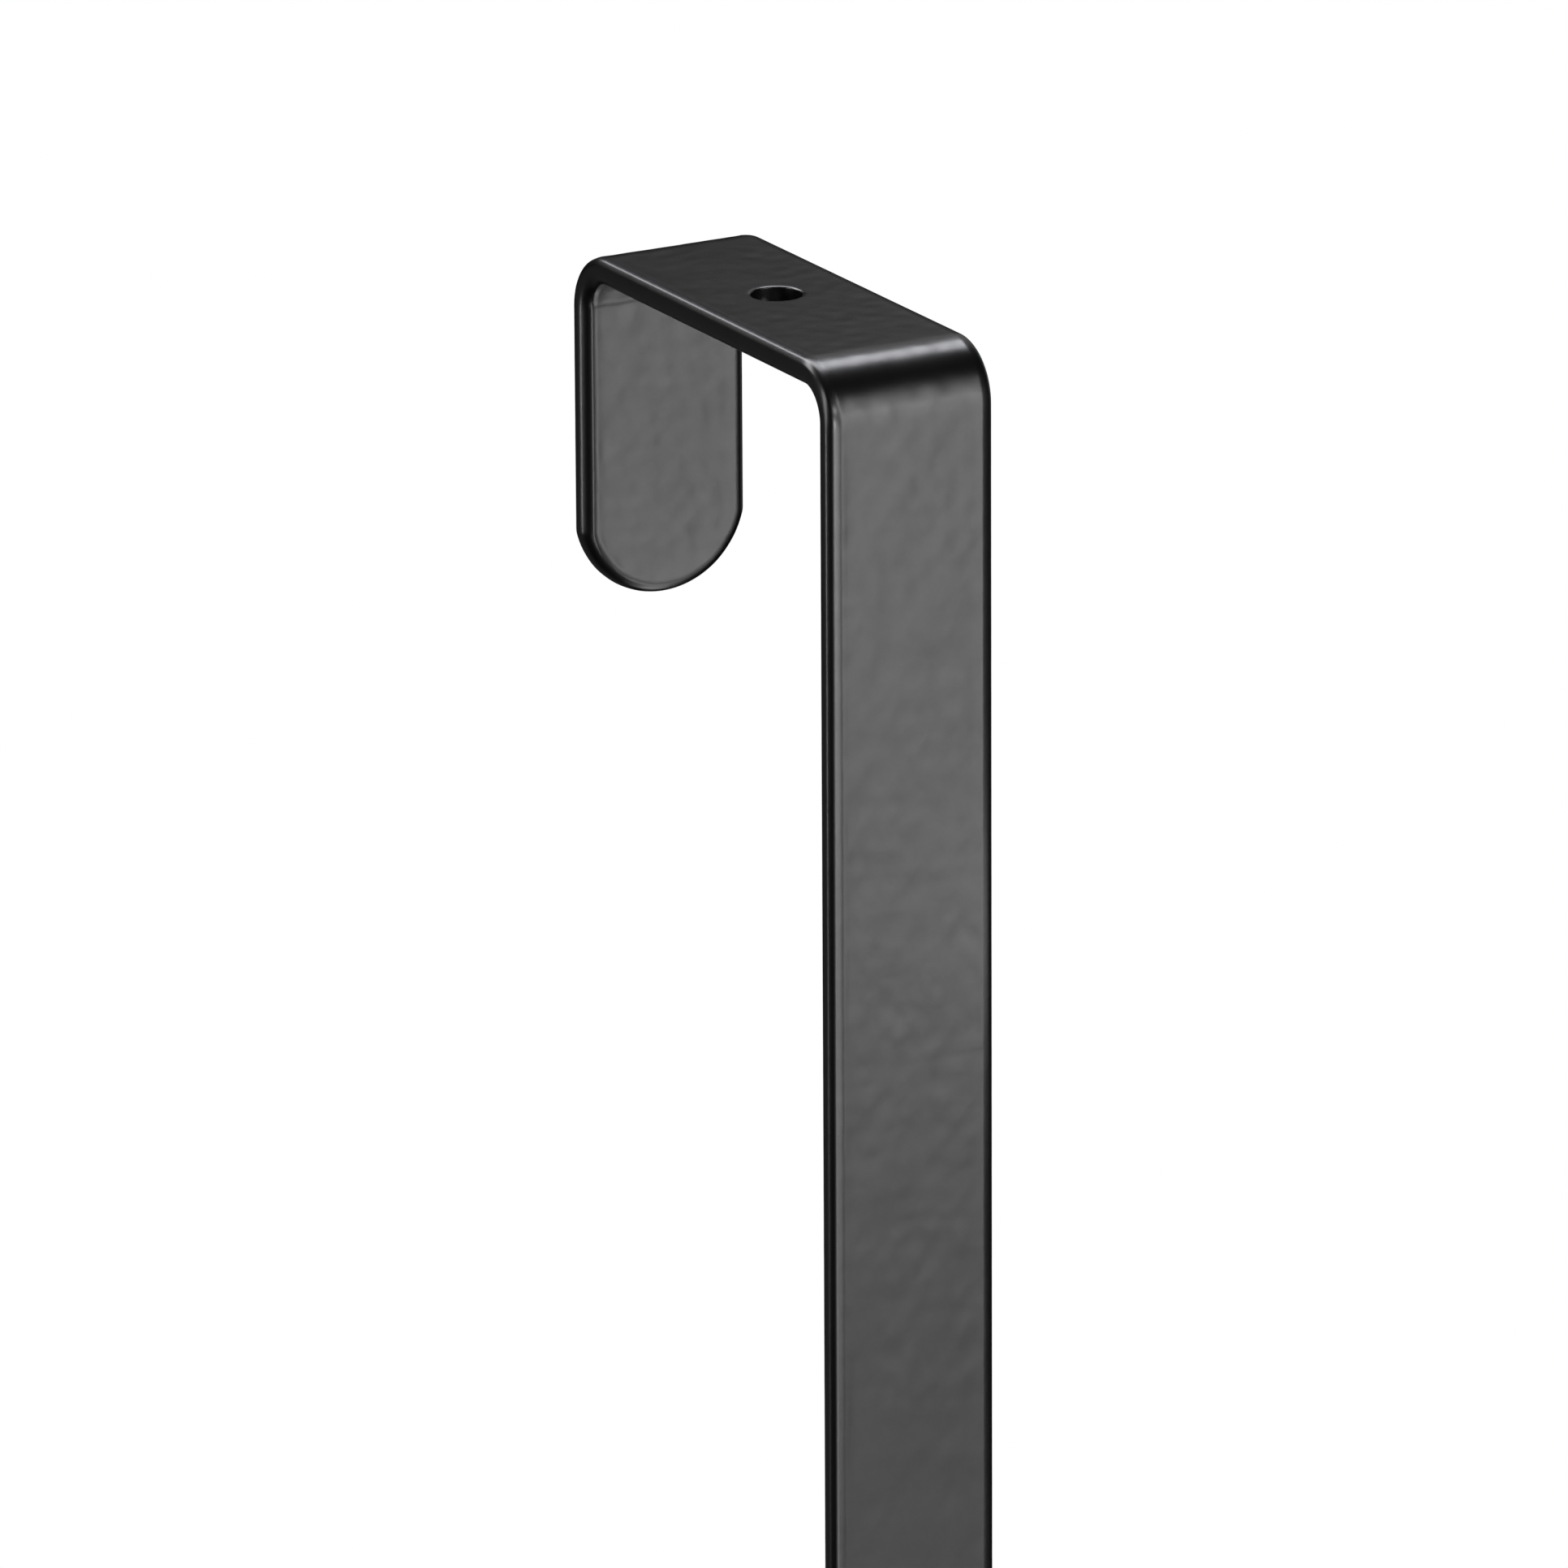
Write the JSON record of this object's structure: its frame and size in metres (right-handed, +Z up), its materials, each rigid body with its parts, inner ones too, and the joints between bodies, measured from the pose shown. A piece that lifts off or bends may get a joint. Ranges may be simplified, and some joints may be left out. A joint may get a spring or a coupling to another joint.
{
  "type": "over door hook",
  "caption": "Flat steel strip bent over the top of a door: short rounded back leg, bridge with a plain round hole, long front leg ending in a plain J hook.",
  "frame": {"origin": "on the axis of the screw hole, in the underside of the bridge, the face that lies on the top edge of the door", "axes": "+Z up; -Y towards the room, where the long leg and its hook are; +Y towards the short leg; X across the width of the strip"},
  "size_m": [0.019, 0.081, 0.305],
  "materials": {
    "powder_coat": "semi-gloss black powder coat"
  },
  "bodies": {
    "root": {"over_door_hook": "powder_coat"}
  },
  "joints": []
}
